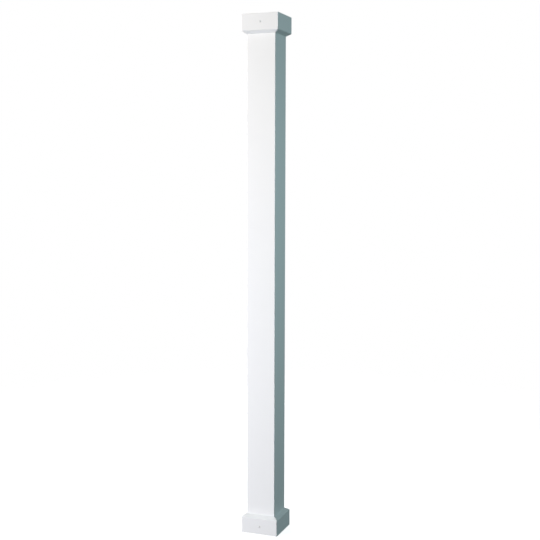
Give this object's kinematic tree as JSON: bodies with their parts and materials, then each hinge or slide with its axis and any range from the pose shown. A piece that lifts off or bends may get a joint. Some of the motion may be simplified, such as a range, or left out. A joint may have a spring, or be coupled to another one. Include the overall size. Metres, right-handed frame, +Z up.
{
  "type": "square porch column",
  "caption": "Tall hollow square column with a plain straight shaft and matching bevelled square collars at its foot and head.",
  "frame": {"origin": "middle of the foot, at floor level, on the shaft's own axis", "axes": "+Z up the shaft towards the cap; -Y is the front, where a screw shows in each collar; +X is to the right as the front is seen"},
  "size_m": [0.181, 0.186, 2.4384],
  "materials": {
    "shaft_paint": "satin",
    "collar_paint": "satin",
    "screw_paint": "satin"
  },
  "bodies": {
    "root": {"shaft": "shaft_paint", "base": "collar_paint", "cap": "collar_paint", "base_screw_front": "screw_paint", "base_screw_back": "screw_paint", "cap_screw_front": "screw_paint", "cap_screw_back": "screw_paint"}
  },
  "joints": []
}
